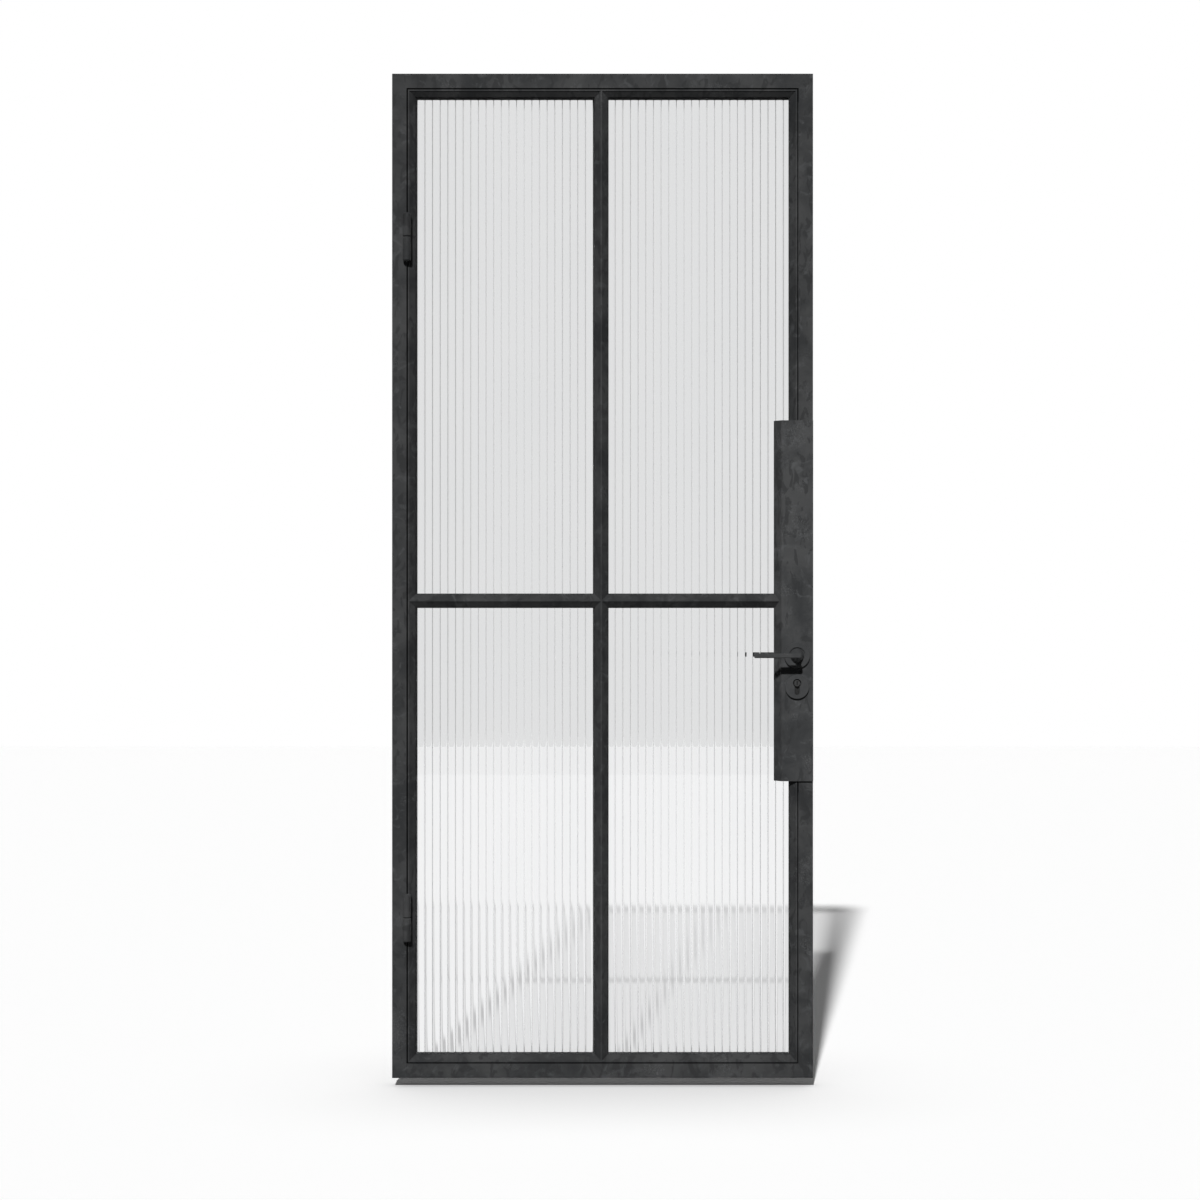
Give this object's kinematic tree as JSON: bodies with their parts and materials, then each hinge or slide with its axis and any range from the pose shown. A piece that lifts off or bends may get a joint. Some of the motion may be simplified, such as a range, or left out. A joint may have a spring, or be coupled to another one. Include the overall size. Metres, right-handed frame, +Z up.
{
  "type": "glazed steel door with frame",
  "caption": "Slim black steel door in its own frame, with reeded glass panes between sloped beads, weld-on barrel hinges, a tall lock box, levers and a keyed dead bolt.",
  "frame": {"origin": "middle of the sill's underside", "axes": "+X to the right seen from the front, +Y from front to back, +Z up"},
  "size_m": [0.88, 0.134, 2.1],
  "materials": {
    "steel": "matt blackened steel with a mottled patina",
    "black_fittings": "satin black",
    "glass": "clear, with upright reeds",
    "rubber": "matt black",
    "block_plastic": "plain",
    "bright_steel": "zinc plated",
    "lock_metal": "satin nickel",
    "black_cylinder": "matt black"
  },
  "bodies": {
    "frame": {"frame_head": "steel", "frame_sill": "steel", "frame_hinge_jamb": "steel", "frame_lock_jamb": "steel", "stop_head": "steel", "stop_sill": "steel", "stop_hinge_jamb": "steel", "stop_lock_jamb_upper": "steel", "stop_lock_jamb_lower": "steel", "stop_seals": "rubber", "strike_plate": "bright_steel", "strike_screws": "bright_steel", "hinge_bottom_lower_knuckle": "steel", "hinge_top_lower_knuckle": "steel", "hinge_pins": "bright_steel", "hinge_washers": "steel"},
    "leaf": {"hinge_stile": "steel", "top_rail": "steel", "bottom_rail": "steel", "lock_stile_upper": "steel", "lock_stile_lower": "steel", "mullion": "steel", "muntin_left": "steel", "muntin_right": "steel", "glass_upper_left": "glass", "glass_upper_right": "glass", "glass_lower_left": "glass", "glass_lower_right": "glass", "beads_upper_left": "steel", "beads_upper_right": "steel", "beads_lower_left": "steel", "beads_lower_right": "steel", "glazing_tapes": "rubber", "setting_blocks": "block_plastic", "hinge_bottom_upper_knuckle": "steel", "hinge_top_upper_knuckle": "steel", "lock_box_shell": "steel", "lock_box_edge": "steel", "lock_box_cover": "steel", "cover_posts": "bright_steel", "cover_screws": "black_fittings", "lock_case": "bright_steel", "lock_case_cover": "bright_steel", "lock_forend": "bright_steel", "forend_screws": "bright_steel", "cylinder_body": "black_cylinder", "cylinder_screw": "bright_steel", "rose_front": "black_fittings", "rose_rear": "black_fittings", "escutcheon_front": "black_fittings", "escutcheon_rear": "black_fittings"},
    "lever": {"lever_front": "black_fittings", "lever_rear": "black_fittings", "spindle": "bright_steel", "follower": "bright_steel"},
    "latch": {"latch_bolt": "lock_metal"},
    "key": {"cylinder_plug": "black_cylinder"},
    "dead_bolt": {"dead_bolt": "lock_metal"}
  },
  "joints": [
    {"name": "door_swing", "type": "hinge", "parent": "frame", "child": "leaf", "pos_m": [-0.4084, -0.034, 1.05], "axis": [0, 0, -1], "range_deg": [0, 110]},
    {"name": "lever_turn", "type": "hinge", "parent": "leaf", "child": "lever", "pos_m": [0.406, -0.0125, 0.884], "axis": [0, -1, 0], "range_deg": [0, 40], "stiffness_Nm_per_rad": 1.2, "springref_deg": -20.05},
    {"name": "latch_slide", "type": "slide", "parent": "leaf", "child": "latch", "axis": [-1, 0, 0], "range_m": [0, 0.0095]},
    {"name": "key_turn", "type": "hinge", "parent": "leaf", "child": "key", "pos_m": [0.406, -0.0125, 0.826], "axis": [0, 1, 0], "range_deg": [0, 360]},
    {"name": "dead_bolt_slide", "type": "slide", "parent": "leaf", "child": "dead_bolt", "axis": [1, 0, 0], "range_m": [0, 0.009]}
  ],
  "couplings": [
    {"joint": "latch_slide", "follows": "lever_turn", "m_per_rad": 0.0136},
    {"joint": "key_turn", "follows": "dead_bolt_slide", "rad_per_m": 698.1}
  ]
}
